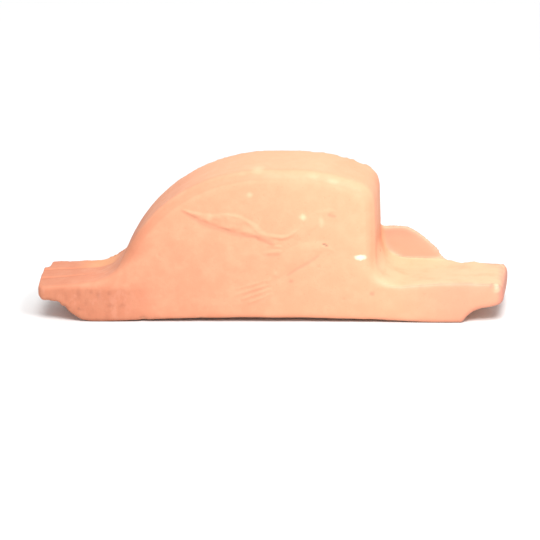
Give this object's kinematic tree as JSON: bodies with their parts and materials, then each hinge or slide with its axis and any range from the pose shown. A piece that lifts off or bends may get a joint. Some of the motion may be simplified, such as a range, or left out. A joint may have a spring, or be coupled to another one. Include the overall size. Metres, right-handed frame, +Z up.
{
  "type": "bird stop tile",
  "caption": "Terracotta bird stop: a low arched closure with wings, lips and a back lug that fills the eave end of an S-tile roof, with a worn relief bird on its face.",
  "frame": {"origin": "middle of the footprint, on the plane the tile stands on", "axes": "+Z up from the eave board, +X along the eave to the side of the upright cheek, +Y up the roof, so the face looks along -Y"},
  "size_m": [0.2866, 0.063, 0.095],
  "materials": {
    "terracotta": "matt fired clay, unglazed"
  },
  "bodies": {
    "root": {"bird_stop_tile": "terracotta"}
  },
  "joints": []
}
